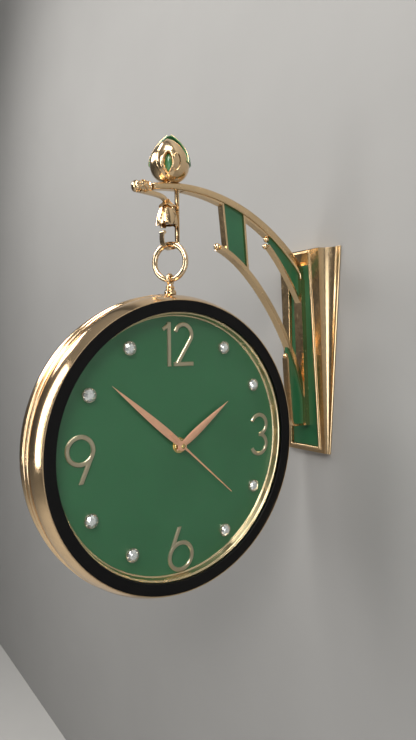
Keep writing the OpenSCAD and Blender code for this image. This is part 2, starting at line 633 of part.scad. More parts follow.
// Half width of a leaf hand, t from the hub to the tip
function leaf_half(t, w) = 1.9 + (w / 2 - 1.9) * sin(180 * pow(t, 1.1)) - 1.6 * pow(t, 4);
module leaf(l, w, tail) polygon(concat(
    [for (i = [0:20]) [-leaf_half(i / 20, w), l * i / 20]],
    [for (i = [20:-1:0]) [leaf_half(i / 20, w), l * i / 20]],
    [[1.6, -tail], [-1.6, -tail]]));
module hand_at(deg) rotate([0, 0, -deg]) children();
module hour_hand() difference() {
    union() {
        hand_at(hour_deg) translate([0, 0, hour_z]) linear_extrude(hand_t) leaf(hour_l, 11, 12);
        translate([0, 0, hour_z]) cylinder(h = hand_t + 0.3, r = 6);
        translate([0, 0, tube_foot]) cylinder(h = hour_z - tube_foot + 0.3, r = hour_tube_r);
    }
    cylinder(h = 60, r = minute_arbor_r + run);
}
module minute_hand() difference() {
    union() {
        hand_at(minute_deg) translate([0, 0, minute_z]) linear_extrude(hand_t) leaf(minute_l, 10, 16);
        translate([0, 0, minute_z]) cylinder(h = hand_t + 0.2, r = 5);
        translate([0, 0, 0.6]) cylinder(h = minute_z - 0.3, r = minute_arbor_r);
    }
    translate([0, 0, mov_back + 1.4]) cylinder(h = 60, r = second_arbor_r + run);
}
module second_hand() {
    hand_at(second_deg) translate([0, 0, second_z]) linear_extrude(0.5)
        polygon([[-0.9, -26], [0.9, -26], [0.4, second_l], [-0.4, second_l]]);
    translate([0, 0, second_z - 0.1]) cylinder(h = 1, r = 3);
    translate([0, 0, mov_back + 1.7]) cylinder(h = second_z - mov_back - 1.7, r = second_arbor_r);
}
module setting_knob() difference() {
    translate([0, 0, 0.6]) cylinder(h = mov_back - 0.9, r = 8);
    cylinder(h = 10, r = minute_arbor_r);
    for (a = [0:15]) rotate([0, 0, 22.5 * a]) translate([8.4, 0, 0]) cylinder(h = 10, r = 0.9, $fn = 16);
}
module hour_hand_front() color([0.8, 0.55, 0.4]) dial_frame(0) hour_hand();
module hour_hand_rear() color([0.8, 0.55, 0.4]) dial_frame(1) hour_hand();
module minute_hand_front() color([0.8, 0.55, 0.4]) dial_frame(0) minute_hand();
module minute_hand_rear() color([0.8, 0.55, 0.4]) dial_frame(1) minute_hand();
module second_hand_front() color([0.8, 0.55, 0.4]) dial_frame(0) second_hand();
module second_hand_rear() color([0.8, 0.55, 0.4]) dial_frame(1) second_hand();
module setting_knob_front() color([0.7, 0.7, 0.7]) dial_frame(0) setting_knob();
module setting_knob_rear() color([0.7, 0.7, 0.7]) dial_frame(1) setting_knob();

wall_plate();
foot_casting();
foot_moulding();
foot_panel();
foot_cove();
lock_screws();
arm_screws();
arm_spine();
top_bar();
lower_bar();
inner_bar();
slat_rims();
fin_rim();
slat_panel();
triangle_panel();
fin_panel();
rim_balls();
tip_bud();
finial_shell();
finial_petal();
finial_stud();
flower_stem();
flower_bell();
hook();
hanging_ring();
swivel_eye();
swivel_collar();
swivel_nut();
hanger_strap();
case_band();
bezel_front();
bezel_rear();
black_ring_front();
black_ring_rear();
rehaut_front();
rehaut_rear();
glass_front();
glass_rear();
dial_front();
dial_rear();
figures_front();
figures_rear();
crystals();
crystal_claws();
movement_front();
movement_rear();
movement_nuts();
cells();
hour_hand_front();
minute_hand_front();
second_hand_front();
setting_knob_front();
hour_hand_rear();
minute_hand_rear();
second_hand_rear();
setting_knob_rear();
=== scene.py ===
import math
import bmesh
import bpy
from mathutils import Matrix, Vector


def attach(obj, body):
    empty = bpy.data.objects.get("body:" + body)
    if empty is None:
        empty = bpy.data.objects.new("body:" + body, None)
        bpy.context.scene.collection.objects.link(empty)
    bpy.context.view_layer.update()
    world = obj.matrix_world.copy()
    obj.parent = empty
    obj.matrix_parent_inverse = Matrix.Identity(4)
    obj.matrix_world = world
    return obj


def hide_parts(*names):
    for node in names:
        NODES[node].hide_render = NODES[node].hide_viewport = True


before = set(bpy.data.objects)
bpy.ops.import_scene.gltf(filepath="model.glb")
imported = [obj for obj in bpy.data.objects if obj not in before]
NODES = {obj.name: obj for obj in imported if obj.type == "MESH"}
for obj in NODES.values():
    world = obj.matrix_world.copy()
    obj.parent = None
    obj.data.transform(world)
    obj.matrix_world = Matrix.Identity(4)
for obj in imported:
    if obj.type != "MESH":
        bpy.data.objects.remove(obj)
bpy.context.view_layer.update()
scene = bpy.context.scene

# ------------------------------------------------------------------ materials
def tree(name):
    m = bpy.data.materials.new(name)
    m.use_nodes = True
    nt = m.node_tree
    nt.nodes.clear()
    out = nt.nodes.new("ShaderNodeOutputMaterial")
    b = nt.nodes.new("ShaderNodeBsdfPrincipled")
    nt.links.new(b.outputs[0], out.inputs[0])
    return m, nt, b

def ramp(nt, source, stops):
    r = nt.nodes.new("ShaderNodeValToRGB")
    e = r.color_ramp.elements
    while len(e) < len(stops):
        e.new(0.5)
    for i, (p, c) in enumerate(stops):
        e[i].position = p
        e[i].color = (c, c, c, 1) if isinstance(c, (int, float)) else (*c, 1)
    nt.links.new(source, r.inputs[0])
    return r.outputs[0]

def noise_out(nt, scale, detail=4, rough=0.5, stretch=None, distortion=0.0):
    co = nt.nodes.new("ShaderNodeTexCoord").outputs["Object"]
    if stretch:
        mp = nt.nodes.new("ShaderNodeMapping")
        mp.inputs["Scale"].default_value = stretch
        nt.links.new(co, mp.inputs[0])
        co = mp.outputs[0]
    n = nt.nodes.new("ShaderNodeTexNoise")
    n.inputs["Scale"].default_value = scale
    n.inputs["Detail"].default_value = detail
    n.inputs["Roughness"].default_value = rough
    n.inputs["Distortion"].default_value = distortion
    nt.links.new(co, n.inputs["Vector"])
    return n.outputs[0]

def bump(nt, b, height, strength, distance, under=None, socket="Normal"):
    n = nt.nodes.new("ShaderNodeBump")
    n.inputs["Strength"].default_value = strength
    n.inputs["Distance"].default_value = distance
    nt.links.new(height, n.inputs["Height"])
    if under:
        nt.links.new(under, n.inputs["Normal"])
    nt.links.new(n.outputs[0], b.inputs[socket])
    return n.outputs[0]

def mix(nt, fac, a, c, mode="MIX"):
    n = nt.nodes.new("ShaderNodeMix")
    n.data_type = "RGBA"
    n.blend_type = mode
    for s, v in ((n.inputs[0], fac), (n.inputs[6], a), (n.inputs[7], c)):
        if isinstance(v, bpy.types.NodeSocket):
            nt.links.new(v, s)
        elif isinstance(v, (int, float)):
            s.default_value = v
        else:
            s.default_value = (*v, 1)
    return n.outputs[2]

def metal(name, bright, shade_tone, rough, hollow_shade=0.35, grain=900.0, wave=0.0, wave_scale=38):
    """Plated metal: the colour drifts between two tones, and hollows get painted shade, mixed towards a
    darker tone by an occlusion mask.
    """
    m, nt, b = tree(name)
    drift = ramp(nt, noise_out(nt, 22, 5, 0.6), [(0.35, 0.0), (0.7, 1.0)])
    col = mix(nt, drift, bright, [0.86 * x for x in bright])
    # painted shade: wherever the ambient-occlusion mask finds a hollow, the colour is mixed towards the
    # darker tone
    if hollow_shade:
        occlusion = nt.nodes.new("ShaderNodeAmbientOcclusion")
        occlusion.samples = 6
        occlusion.inputs["Distance"].default_value = 0.006
        shade_mask = ramp(nt, occlusion.outputs["AO"], [(0.05, 1.0), (0.6, 0.0)])
        shade_weight = nt.nodes.new("ShaderNodeMath")
        shade_weight.operation = "MULTIPLY"
        shade_weight.inputs[1].default_value = hollow_shade
        nt.links.new(shade_mask, shade_weight.inputs[0])
        col = mix(nt, shade_weight.outputs[0], col, shade_tone)
    nt.links.new(col, b.inputs["Base Color"])
    b.inputs["Metallic"].default_value = 1.0
    spots = noise_out(nt, 160 if grain else 45, 6 if grain else 2, 0.65)
    r = nt.nodes.new("ShaderNodeMapRange")
    r.inputs["From Min"].default_value = 0.3
    r.inputs["From Max"].default_value = 0.7
    r.inputs["To Min"].default_value = rough * (0.75 if grain else 0.9)
    r.inputs["To Max"].default_value = rough * (1.35 if grain else 1.1)
    nt.links.new(spots, r.inputs["Value"])
    nt.links.new(r.outputs[0], b.inputs["Roughness"])
    under = None
    if wave:
        under = bump(nt, b, noise_out(nt, wave_scale, 2, 0.4), wave, 0.0015)
    if grain:
        bump(nt, b, noise_out(nt, grain, 3, 0.6), 0.02, 0.0002, under)
    return m

def enamel(name, colour, deep, coat=1.0, rough=0.22, ripple=0.05):
    m, nt, b = tree(name)
    drift = ramp(nt, noise_out(nt, 14, 6, 0.6), [(0.3, 0.0), (0.72, 1.0)])
    fleck = ramp(nt, noise_out(nt, 1500, 2, 0.5), [(0.55, 0.0), (0.75, 0.35)])
    col = mix(nt, drift, colour, deep)
    col = mix(nt, fleck, col, [1.25 * x for x in colour])
    nt.links.new(col, b.inputs["Base Color"])
    b.inputs["Roughness"].default_value = 0.42
    b.inputs["Coat Weight"].default_value = coat
    b.inputs["Coat Roughness"].default_value = rough * 0.3
    b.inputs["Specular IOR Level"].default_value = 0.45
    under = bump(nt, b, noise_out(nt, 60, 3, 0.5), ripple, 0.0008)
    nt.links.new(under, b.inputs["Coat Normal"])
    return m

GOLD = metal("antique_gold", (0.80, 0.585, 0.345), (0.20, 0.12, 0.055), 0.15, 0.35, grain=700, wave=0.12)
CAST = metal("cast_gold", (0.78, 0.57, 0.33), (0.20, 0.12, 0.055), 0.21, 0.3, grain=700, wave=0.08)
HAMMER = metal("hammered_gold", (0.84, 0.64, 0.41), (0.20, 0.12, 0.055), 0.17, 0.3, grain=700, wave=0.5,
               wave_scale=90)
CASE = metal("case_gold", (0.82, 0.595, 0.36), (0.22, 0.13, 0.06), 0.13, 0.3, grain=700, wave=0.03)
# painted light: a lighter copy of the gold plating, free of painted shade, so the rings round the dials look
# lit
LIT_RING_GOLD = metal("rehaut_gold_lit", (0.90, 0.71, 0.44), (0.45, 0.32, 0.18), 0.25, 0, grain=0)
FIGURE = metal("figure_gold", (0.66, 0.56, 0.40), (0.30, 0.24, 0.15), 0.32, 0, grain=0)
CLAW = metal("claw_silver", (0.72, 0.66, 0.54), (0.25, 0.22, 0.16), 0.16, 0.4)
STEEL = metal("zinc_steel", (0.60, 0.61, 0.62), (0.2, 0.2, 0.2), 0.38, 0.4, grain=1400)
BRASS = metal("turned_brass", (0.95, 0.72, 0.30), (0.35, 0.22, 0.08), 0.18, 0.25)
GREEN = enamel("green_enamel", (0.012, 0.100, 0.038), (0.008, 0.075, 0.027), coat=0.6, ripple=0.03)
# painted light: a lighter copy of the green enamel, so the finial's leaf and heart look lit where they sit in
# shade
LIT_GREEN = enamel("leaf_enamel_lit", (0.050, 0.230, 0.090), (0.035, 0.180, 0.070), ripple=0.03)
DIAL = enamel("dial_enamel", (0.027, 0.128, 0.052), (0.021, 0.108, 0.042), coat=0.2, rough=0.5,
              ripple=0.008)

def hand_paint():
    m, nt, b = tree("hand_copper")
    drift = ramp(nt, noise_out(nt, 120, 4, 0.6), [(0.35, 0.0), (0.7, 1.0)])
    nt.links.new(mix(nt, drift, (0.98, 0.55, 0.36), (0.90, 0.49, 0.32)), b.inputs["Base Color"])
    b.inputs["Metallic"].default_value = 0.75
    b.inputs["Roughness"].default_value = 0.42
    bump(nt, b, noise_out(nt, 1, 3, 0.6, stretch=(60, 3000, 3000)), 0.04, 0.0002)
    return m
HAND = hand_paint()

def black_lacquer():
    m, nt, b = tree("black_lacquer")
    drift = ramp(nt, noise_out(nt, 30, 4), [(0.3, 0.0), (0.7, 1.0)])
    nt.links.new(mix(nt, drift, (0.0022, 0.0022, 0.0025), (0.0038, 0.0036, 0.0035)), b.inputs["Base Color"])
    b.inputs["Roughness"].default_value = 0.42
    b.inputs["Specular IOR Level"].default_value = 0.14
    bump(nt, b, noise_out(nt, 700, 3), 0.03, 0.0003)
    return m
BLACK = black_lacquer()

def plastic(name, colour, rough):
    m, nt, b = tree(name)
    drift = ramp(nt, noise_out(nt, 90, 4), [(0.3, 0.0), (0.7, 1.0)])
    nt.links.new(mix(nt, drift, colour, [0.8 * x for x in colour]), b.inputs["Base Color"])
    b.inputs["Roughness"].default_value = rough
    bump(nt, b, noise_out(nt, 2200, 2), 0.12, 0.0002)
    return m
PLASTIC = plastic("black_plastic", (0.02, 0.02, 0.021), 0.45)
WRAP = plastic("cell_wrap", (0.05, 0.05, 0.06), 0.22)

SHEEN = 0.75
def window_glass():
    """Thin clear sheet: mostly see-through, with a mirror-like sheen at a slant on its outer side only."""
    m = bpy.data.materials.new("clear_glass")
    m.use_nodes = True
    nt = m.node_tree
    nt.nodes.clear()
    out = nt.nodes.new("ShaderNodeOutputMaterial")
    gl = nt.nodes.new("ShaderNodeBsdfGlossy")
    gl.inputs["Roughness"].default_value = 0.015
    tr = nt.nodes.new("ShaderNodeBsdfTransparent")
    tr.inputs["Color"].default_value = (0.975, 0.985, 0.98, 1)
    fr = nt.nodes.new("ShaderNodeFresnel")
    fr.inputs["IOR"].default_value = 1.45
    smear = ramp(nt, noise_out(nt, 9, 4, 0.6), [(0.35, 0.86), (0.7, 1.0)])
    sheen = nt.nodes.new("ShaderNodeMath")
    sheen.operation = "MULTIPLY"
    nt.links.new(fr.outputs[0], sheen.inputs[0])
    nt.links.new(smear, sheen.inputs[1])
    geo = nt.nodes.new("ShaderNodeNewGeometry")
    outside = nt.nodes.new("ShaderNodeMath")
    outside.operation = "MULTIPLY_ADD"
    outside.inputs[1].default_value = -SHEEN
    outside.inputs[2].default_value = SHEEN
    nt.links.new(geo.outputs["Backfacing"], outside.inputs[0])
    outer_sheen = nt.nodes.new("ShaderNodeMath")
    outer_sheen.operation = "MULTIPLY"
    nt.links.new(sheen.outputs[0], outer_sheen.inputs[0])
    nt.links.new(outside.outputs[0], outer_sheen.inputs[1])
    mx = nt.nodes.new("ShaderNodeMixShader")
    nt.links.new(outer_sheen.outputs[0], mx.inputs[0])
    nt.links.new(tr.outputs[0], mx.inputs[1])
    nt.links.new(gl.outputs[0], mx.inputs[2])
    nt.links.new(mx.outputs[0], out.inputs[0])
    return m
GLASS = window_glass()

def crystal_mat():
    """Foil-backed cut stone: bright facets under a clear hard surface."""
    m, nt, b = tree("crystal")
    tone = ramp(nt, noise_out(nt, 420, 2), [(0.3, (0.80, 0.82, 0.83)), (0.7, (0.97, 0.97, 0.95))])
    nt.links.new(tone, b.inputs["Base Color"])
    b.inputs["Metallic"].default_value = 0.7
    b.inputs["Roughness"].default_value = 0.05
    b.inputs["Coat Weight"].default_value = 1.0
    b.inputs["Coat Roughness"].default_value = 0.02
    b.inputs["Coat IOR"].default_value = 2.0
    return m
CRYSTAL = crystal_mat()

BY_NODE = {}
for names, mat in (
        ("foot_casting foot_moulding foot_cove arm_spine top_bar lower_bar inner_bar", CAST),
        ("slat_rims fin_rim", CAST),
        ("rim_balls tip_bud finial_shell finial_stud flower_stem flower_bell hook", GOLD),
        ("swivel_eye swivel_collar", GOLD),
        ("hanging_ring", HAMMER),
        ("case_band bezel_front bezel_rear", CASE), ("rehaut_front rehaut_rear", LIT_RING_GOLD),
        ("foot_panel slat_panel triangle_panel fin_panel finial_petal", GREEN),
        ("dial_front dial_rear", DIAL), ("figures_front figures_rear", FIGURE), ("crystal_claws", CLAW),
        ("crystals", CRYSTAL), ("glass_front glass_rear", GLASS),
        ("black_ring_front black_ring_rear", BLACK),
        ("wall_plate lock_screws arm_screws swivel_nut hanger_strap", STEEL), ("movement_nuts", BRASS),
        ("movement_front movement_rear setting_knob_front setting_knob_rear", PLASTIC), ("cells", WRAP),
        ("hour_hand_front minute_hand_front second_hand_front", HAND),
        ("hour_hand_rear minute_hand_rear second_hand_rear", HAND)):
    for n in names.split():
        BY_NODE[n] = mat
for n, o in NODES.items():
    mat = BY_NODE[n]
    o.data.materials.clear()
    o.data.materials.append(mat)
    for p in o.data.polygons:
        p.material_index = 0

def ease(name, width, segments=3, angle=32):
    """Rounds the sharp edges of a CAD node with modifiers, after welding its split corners."""
    o = NODES[name]
    w = o.modifiers.new("weld", "WELD")
    w.merge_threshold = 0.00002
    b = o.modifiers.new("ease", "BEVEL")
    b.width = width
    b.segments = segments
    b.limit_method = "ANGLE"
    b.angle_limit = math.radians(angle)
    b.use_clamp_overlap = True
    b.harden_normals = False
    n = o.modifiers.new("normals", "WEIGHTED_NORMAL")
    n.keep_sharp = False

# ------------------------------------------------------------------ camera
# place, direction and lens come from a fit to the dial's black ring and crystals in the photo
CAMERA_AT = Vector((0.5516, -0.6169, 0.0074))
cam = bpy.data.objects.new("camera", bpy.data.cameras.new("camera"))
scene.collection.objects.link(cam)
right = Vector((0.60816, 0.79377, -0.00821))
up = Vector((-0.02794, 0.03174, 0.99911))
ahead = Vector((-0.79332, 0.60739, -0.04148))
cam.matrix_world = Matrix(((right.x, up.x, -ahead.x, CAMERA_AT.x), (right.y, up.y, -ahead.y, CAMERA_AT.y),
                           (right.z, up.z, -ahead.z, CAMERA_AT.z), (0, 0, 0, 1)))
cam.data.lens = 25.97
cam.data.sensor_width = 36
cam.data.clip_start = 0.01
scene.camera = cam

# ------------------------------------------------------------------ floor, wall and light
def slab(name, co, mat, faces=((0, 1, 2, 3),)):
    me = bpy.data.meshes.new(name)
    me.from_pydata(co, [], faces)
    o = bpy.data.objects.new(name, me)
    scene.collection.objects.link(o)
    me.materials.append(mat)
    return o

def plaster(name, tone):
    """Matt plaster that shows on its room side only, so the clock can be seen from behind its wall too."""
    m, nt, b = tree(name)
    clear = nt.nodes.new("ShaderNodeBsdfTransparent")
    side = nt.nodes.new("ShaderNodeMixShader")
    nt.links.new(nt.nodes.new("ShaderNodeNewGeometry").outputs["Backfacing"], side.inputs[0])
    nt.links.new(b.outputs[0], side.inputs[1])
    nt.links.new(clear.outputs[0], side.inputs[2])
    out = [n for n in nt.nodes if n.type == "OUTPUT_MATERIAL"][0]
    nt.links.new(side.outputs[0], out.inputs[0])
    drift = ramp(nt, noise_out(nt, 5, 4), [(0.3, [0.96 * x for x in tone]), (0.7, tone)])
    nt.links.new(drift, b.inputs["Base Color"])
    b.inputs["Roughness"].default_value = 0.9
    return m
# the wall stands just behind the foot, and is open inside the foot's outline
WALL_Y, ROOM, FLOOR_Z, CEILING = 0.0006, 6, -1.2, 4
wall_edge = ((-ROOM, FLOOR_Z), (ROOM, FLOOR_Z), (ROOM, CEILING), (-ROOM, CEILING))
wall_gap = ((-0.036, -0.145), (0.036, -0.145), (0.053, 0.145), (-0.053, 0.145))
slab("wall", [(x, WALL_Y, z) for x, z in wall_edge + wall_gap],
     plaster("wall_plaster", (0.30, 0.298, 0.292)), ((0, 1, 5, 4), (1, 2, 6, 5), (2, 3, 7, 6), (3, 0, 4, 7)))
slab("floor", [(-ROOM, -ROOM, FLOOR_Z), (ROOM, -ROOM, FLOOR_Z), (ROOM, WALL_Y, FLOOR_Z),
               (-ROOM, WALL_Y, FLOOR_Z)],
     plaster("floor_plaster", (0.55, 0.545, 0.53)))

def area(name, at, look, size, power, colour=(1, 1, 1), size_y=None):
    d = bpy.data.lights.new(name, "AREA")
    d.energy = power
    d.color = colour
    d.shape = "RECTANGLE"
    d.size = size
    d.size_y = size_y or size
    o = bpy.data.objects.new(name, d)
    o.location = at
    o.rotation_mode = "QUATERNION"
    o.rotation_quaternion = (Vector(look) - Vector(at)).to_track_quat("-Z", "Y")
    scene.collection.objects.link(o)

world = bpy.data.worlds.new("studio")
world.use_nodes = True
wt = world.node_tree
back = wt.nodes["Background"]
gen = wt.nodes.new("ShaderNodeTexCoord")
sep = wt.nodes.new("ShaderNodeSeparateXYZ")
wt.links.new(gen.outputs["Generated"], sep.inputs[0])
sky = ramp(wt, sep.outputs["Z"], [(0.0, (0.07, 0.07, 0.07)), (0.45, (0.10, 0.10, 0.10)),
                                (0.62, (0.16, 0.16, 0.16)), (1.0, (0.30, 0.30, 0.30))])
wt.links.new(sky, back.inputs[0])
back.inputs[1].default_value = 1.0
scene.world = world
area("key", (1.3, -1.5, 1.3), (0, -0.2, 0), 0.9, 34, (1.0, 0.97, 0.93))
area("fill", (1.9, -0.9, -0.2), (0, -0.25, -0.1), 1.0, 10, (0.95, 0.97, 1.0))
area("left", (-0.5, -1.9, 0.4), (0, -0.25, -0.1), 0.35, 16, (1.0, 0.97, 0.93), size_y=1.8)
area("top", (0.3, -0.6, 1.5), (0, -0.2, 0), 0.6, 13, (1.0, 0.98, 0.95))
area("behind", (0.5, 1.3, 0.6), (0, 0, 0), 0.8, 12)
area("rim", (-1.1, -0.9, 0.9), (0, -0.2, 0), 0.5, 10, (1.0, 0.97, 0.94))

scene.view_settings.view_transform = "Standard"

# ------------------------------------------------------------------ making pieces
def piece(name, verts, faces, mat, body, replaces=(), smooth=True, angle=35):
    me = bpy.data.meshes.new(name)
    me.from_pydata([tuple(v) for v in verts], [], faces)
    bm = bmesh.new()
    bm.from_mesh(me)
    bmesh.ops.remove_doubles(bm, verts=bm.verts, dist=2e-6)
    bmesh.ops.recalc_face_normals(bm, faces=bm.faces)
    for f in bm.faces:
        f.smooth = smooth
    for e in bm.edges:
        if len(e.link_faces) == 2 and e.calc_face_angle(0) > math.radians(angle):
            e.smooth = False
    bm.to_mesh(me)
    bm.free()
    me.materials.append(mat)
    o = bpy.data.objects.new(name, me)
    scene.collection.objects.link(o)
    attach(o, body)
    if replaces:
        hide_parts(*replaces)
    return o

class Shape:
    """Gathers vertices and faces, in millimetres, through a placing function."""
    def __init__(self, place=lambda x, y, z: (x, y, z)):
        self.v, self.f, self.place = [], [], place

    def put(self, pts):
        base = len(self.v)
        self.v += [Vector(self.place(*p)) * 0.001 for p in pts]
        return list(range(base, base + len(pts)))

    def rings(self, rows, closed=True, cap0=False, cap1=False):
        """Skins a list of equal-length rows of points."""
        ids = [self.put(r) for r in rows]
        n = len(ids[0])
        for a, b in zip(ids, ids[1:]):
            for i in range(n if closed else n - 1):
                j = (i + 1) % n
                self.f.append((a[i], a[j], b[j], b[i]))
        if cap0:
            self.f.append(tuple(reversed(ids[0])))
        if cap1:
            self.f.append(tuple(ids[-1]))
        return ids

    def lathe(self, profile, centre=(0, 0), n=48, shape=None, loop=False, cap=False):
        """Turns a (radius, height) profile; shape(angle, radius, height) may bend it, loop closes it."""
        rows = []
        for r, z in profile:
            row = []
            for k in range(n):
                a = 2 * math.pi * k / n
                rr, zz = shape(a, r, z) if shape else (r, z)
                row.append((centre[0] + rr * math.cos(a), centre[1] + rr * math.sin(a), zz))
            rows.append(row)
        if loop:
            ids = self.rings(rows)
            self.f += [(ids[-1][k], ids[-1][(k + 1) % n], ids[0][(k + 1) % n], ids[0][k]) for k in range(n)]
            return ids
        return self.rings(rows, cap0=cap, cap1=cap)

    def tube(self, path, radius, n=14, caps=True):
        """Round bar along a path, whose radius is a number or a function of 0..1."""
        path = [Vector(p) for p in path]
        normal, rows = None, []
        for i, p in enumerate(path):
            d = (path[min(i + 1, len(path) - 1)] - path[max(i - 1, 0)]).normalized()
            if normal is None:
                normal = d.orthogonal().normalized()
            normal = (normal - d * normal.dot(d)).normalized()
            side = d.cross(normal)
            t = i / (len(path) - 1)
            r = radius(t) if callable(radius) else radius
            rows.append([tuple(p + normal * r * math.cos(2 * math.pi * k / n)
                               + side * r * math.sin(2 * math.pi * k / n)) for k in range(n)])
        self.rings(rows, cap0=caps, cap1=caps)

# distance of the hanging axis from the wall, and drop of the dials' centre below the foot's
REACH, DROP = 252, 111
# height just above a dial's face, from the middle of the case
DIAL_FACE = 16.52
def dial_place(side):
    """From a dial's own right, up and outward to the shared frame."""
    s = 1 if side == 0 else -1
    return lambda x, y, z: (s * z, -REACH + s * x, -DROP + y)

# ------------------------------------------------------------------ hands
TAIL_SHARE = 0.12
def leaf(shape, length, width, z, deg, tail, thick):
    """A leaf-shaped hand with a ridge, on a short tail that takes up TAIL_SHARE of its rows."""
    a = math.radians(deg)
    ca, sa = math.cos(a), math.sin(a)
    rows = []
    n = 48
    for i in range(n + 1):
        t = i / n
        if t < TAIL_SHARE:
            s = t / TAIL_SHARE
            y = -tail + s * tail
            w = 1.35 + 0.35 * s
            h = thick * 0.5
        else:
            s = (t - TAIL_SHARE) / (1 - TAIL_SHARE)
            y = length * s
            swell = math.sin(math.pi * min(1, s ** 0.52)) ** 1.1
            w = max(0.12, 1.7 + (width / 2 - 1.7) * swell - 1.55 * s ** 3)
            h = thick * (0.45 + 0.55 * math.sin(math.pi * min(1, s ** 0.8)))
        low = thick * 0.3
        section = [(-w, 0), (-w * 0.93, low), (-w * 0.45, low + h * 0.42), (0, low + h * 0.62),
                   (w * 0.45, low + h * 0.42), (w * 0.93, low), (w, 0)]
        rows.append([(x * ca + y * sa, -x * sa + y * ca, z + q) for x, q in section])
    shape.rings(rows, cap0=True, cap1=True)

def hub(shape, z, r, h):
    shape.lathe([(0.001, z + h), (r * 0.55, z + h), (r * 0.86, z + h * 0.88), (r, z + h * 0.6),
                 (r, z + 0.02), (0.001, z + 0.02)], n=40)

# degrees clockwise from 12 at rest
rest = {"hour": 55.8, "minute": 309.6, "second": 132.0}
NEEDLE_TAIL, NEEDLE_LENGTH, NEEDLE_Z, NEEDLE_ROWS = 24, 125, 25.2, 24
for side, word in enumerate(("front", "rear")):
    for kind, length, width, z, tail, thick, r, h in (
            ("hour", 88, 10.4, 21.8, 9, 0.9, 6.2, 1.2), ("minute", 121, 9.6, 23.7, 13, 0.9, 5.4, 1.1)):
        s = Shape(dial_place(side))
        leaf(s, length, width, z, rest[kind], tail, thick)
        hub(s, z, r, h)
        piece(f"{kind}_hand_leaf_{word}", s.v, s.f, HAND, f"{kind}_{word}",
              [f"{kind}_hand_{word}"])
    s = Shape(dial_place(side))
    a = math.radians(rest["second"])
    rows = []
    for i in range(NEEDLE_ROWS + 1):
        t = i / NEEDLE_ROWS
        y = -NEEDLE_TAIL + NEEDLE_LENGTH * t
        w = 1.5 - 0.85 * t
        rows.append([(x * math.cos(a) + y * math.sin(a), -x * math.sin(a) + y * math.cos(a), NEEDLE_Z + q)
                     for x, q in ((-w, 0), (-w * 0.6, 0.6), (w * 0.6, 0.6), (w, 0))])
    s.rings(rows, cap0=True, cap1=True)
    piece(f"second_hand_needle_{word}", s.v, s.f, HAND, f"second_{word}",
          [f"second_hand_{word}"])
    s = Shape(dial_place(side))
    s.lathe([(0.001, 26.25), (1.2, 26.2), (2.2, 26.0), (2.9, 25.6), (3.1, 25.1), (3.1, 25.0),
             (0.001, 25.0)], n=36)
    piece(f"second_hand_cap_{word}", s.v, s.f, BRASS, f"second_{word}")

# threaded bush and knurled nut in the dial's middle
def knurl(a, r, z):
    return (r + (0.22 * math.cos(30 * a) if r > 8.0 and 16.9 < z < 19.5 else 0), z)

nuts = Shape()
for side in (0, 1):
    nuts.place = dial_place(side)
    nuts.lathe([(4.05, 20.9), (5.2, 20.9), (5.4, 19.9), (7.4, 19.8), (8.2, 19.4), (8.3, 18.9), (8.3, 17.2),
                (8.1, 16.8), (9.6, 16.6), (9.6, DIAL_FACE), (4.05, DIAL_FACE)], n=120, shape=knurl, loop=True)
piece("dial_nuts", nuts.v, nuts.f, BRASS, "case", ["movement_nuts"])

# ------------------------------------------------------------------ rings between dial and glass
# radius close to the ring's outer side, and height of the glass's underside
SEAT_R, GLASS_Z = 161.4, 26.6
for side, word in enumerate(("front", "rear")):
    s = Shape(dial_place(side))
    base = [(SEAT_R - 4.6, DIAL_FACE), (SEAT_R - 4.4, 17.0), (SEAT_R - 3.9, 17.3), (SEAT_R - 3.3, 17.4),
            (SEAT_R - 2.9, 17.9)]
    slope = [(SEAT_R - 2.3, GLASS_Z - 2.6), (SEAT_R - 1.9, GLASS_Z - 1.7), (SEAT_R - 1.3, GLASS_Z - 1.2),
             (SEAT_R - 0.7, GLASS_Z - 1.0), (SEAT_R - 0.3, GLASS_Z - 0.6)]
    lip = [(SEAT_R - 0.2, GLASS_Z - 0.15), (SEAT_R + 0.8, GLASS_Z - 0.15), (SEAT_R + 0.8, GLASS_Z - 0.9)]
    back = [(SEAT_R - 0.1, 17.6), (SEAT_R + 0.6, DIAL_FACE)]
    s.lathe(base + slope + lip + back, n=256, loop=True)
    piece(f"dial_ring_{word}", s.v, s.f, LIT_RING_GOLD, "case", [f"rehaut_{word}"], angle=50)

# ------------------------------------------------------------------ figures: strokes with chamfered edges
def stroke(s, path, width, height, closed=False, level=None, base=DIAL_FACE, edge=0.75):
    """Sweeps a chamfered bar along a flat path; level=z cuts its far end level with y=z."""
    pts = [Vector(q) for q in path]
    if not closed:
        a, b = (pts[1] - pts[0]).normalized(), (pts[-1] - pts[-2]).normalized()
        pts = [pts[0], pts[0] + a * edge] + pts[1:-1] + [pts[-1] - b * edge, pts[-1]]
    n, rows = len(pts), []
    for i, q in enumerate(pts):
        a = (q - pts[i - 1 if closed or i else 0])
        b = (pts[(i + 1) % n if closed else min(i + 1, n - 1)] - q)
        a = a.normalized() if a.length else b.normalized()
        b = b.normalized() if b.length else a
        d = (a + b).normalized()
        left = Vector((-d.y, d.x)) / max(0.5, d.dot(a))
        top = height - (edge if not closed and i in (0, n - 1) else 0)
        row = []
        for l, z in ((-0.5, 0), (-0.5, height - edge), (edge / width - 0.5, top), (0.5 - edge / width, top),
                     (0.5, height - edge), (0.5, 0)):
            w = q + left * l * width
            if level is not None and i >= n - 2:
                w += d * ((level - (edge if i == n - 2 else 0) - w.y) / d.y)
            row.append((w.x, w.y, base + z))
        rows.append(row)
    if closed:
        rows.append(rows[0])
    s.rings(rows, cap0=not closed, cap1=not closed)

def arc(cx, cy, r, a0, a1, n):
    angles = [math.radians(a0 + (a1 - a0) * i / n) for i in range(n + 1)]
    return [(cx + r * math.cos(a), cy + r * math.sin(a)) for a in angles]

